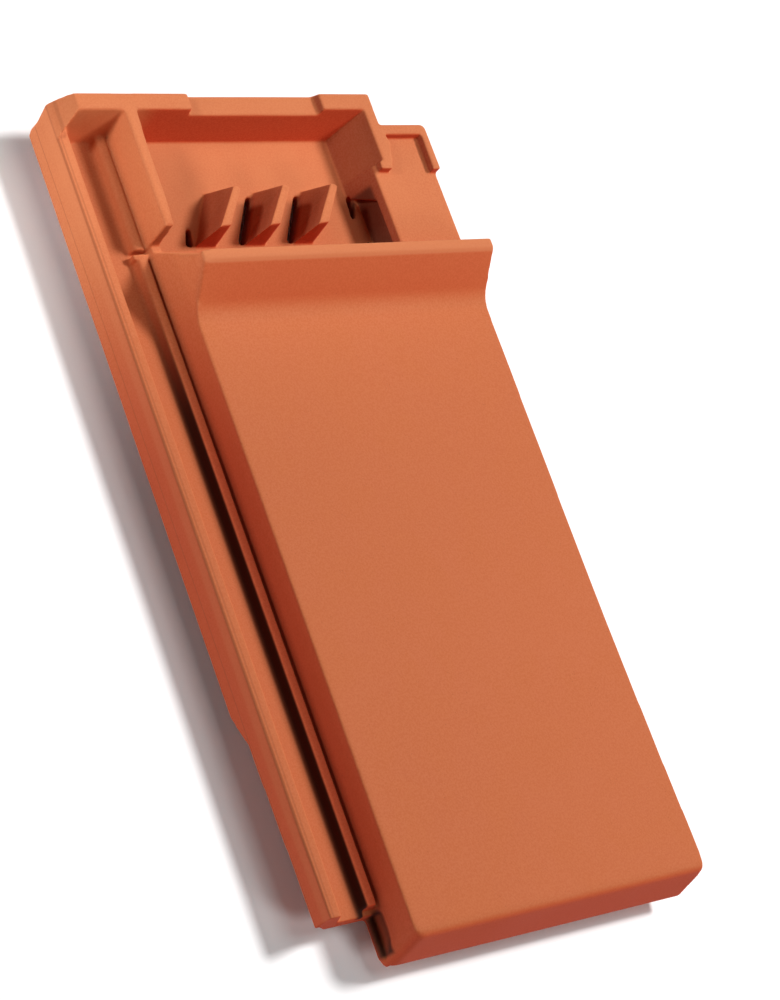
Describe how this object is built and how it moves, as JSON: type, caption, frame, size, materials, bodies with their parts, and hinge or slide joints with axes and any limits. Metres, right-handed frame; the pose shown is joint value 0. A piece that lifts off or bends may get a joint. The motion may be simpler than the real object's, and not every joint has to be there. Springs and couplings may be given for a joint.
{
  "type": "clay ventilation roof tile",
  "caption": "Flat interlocking fired-clay ventilation roof tile: side water lock, cover flange, and a sunk vent box at the head behind an upswept hood.",
  "frame": {"origin": "centre of the bounding box in plan, at the lowest level of the hanging nibs", "axes": "+X across the roof towards the cover flange, +Y up the slope from the foot skirt to the head rim, +Z out of the roof, square to the flat field"},
  "size_m": [0.2342, 0.4646, 0.0638],
  "materials": {
    "fired_clay": "unglazed natural red fired clay, matt, fine-grained, with slight colour variation and smoothed edges"
  },
  "bodies": {
    "root": {"roof_tile": "fired_clay"}
  },
  "joints": []
}
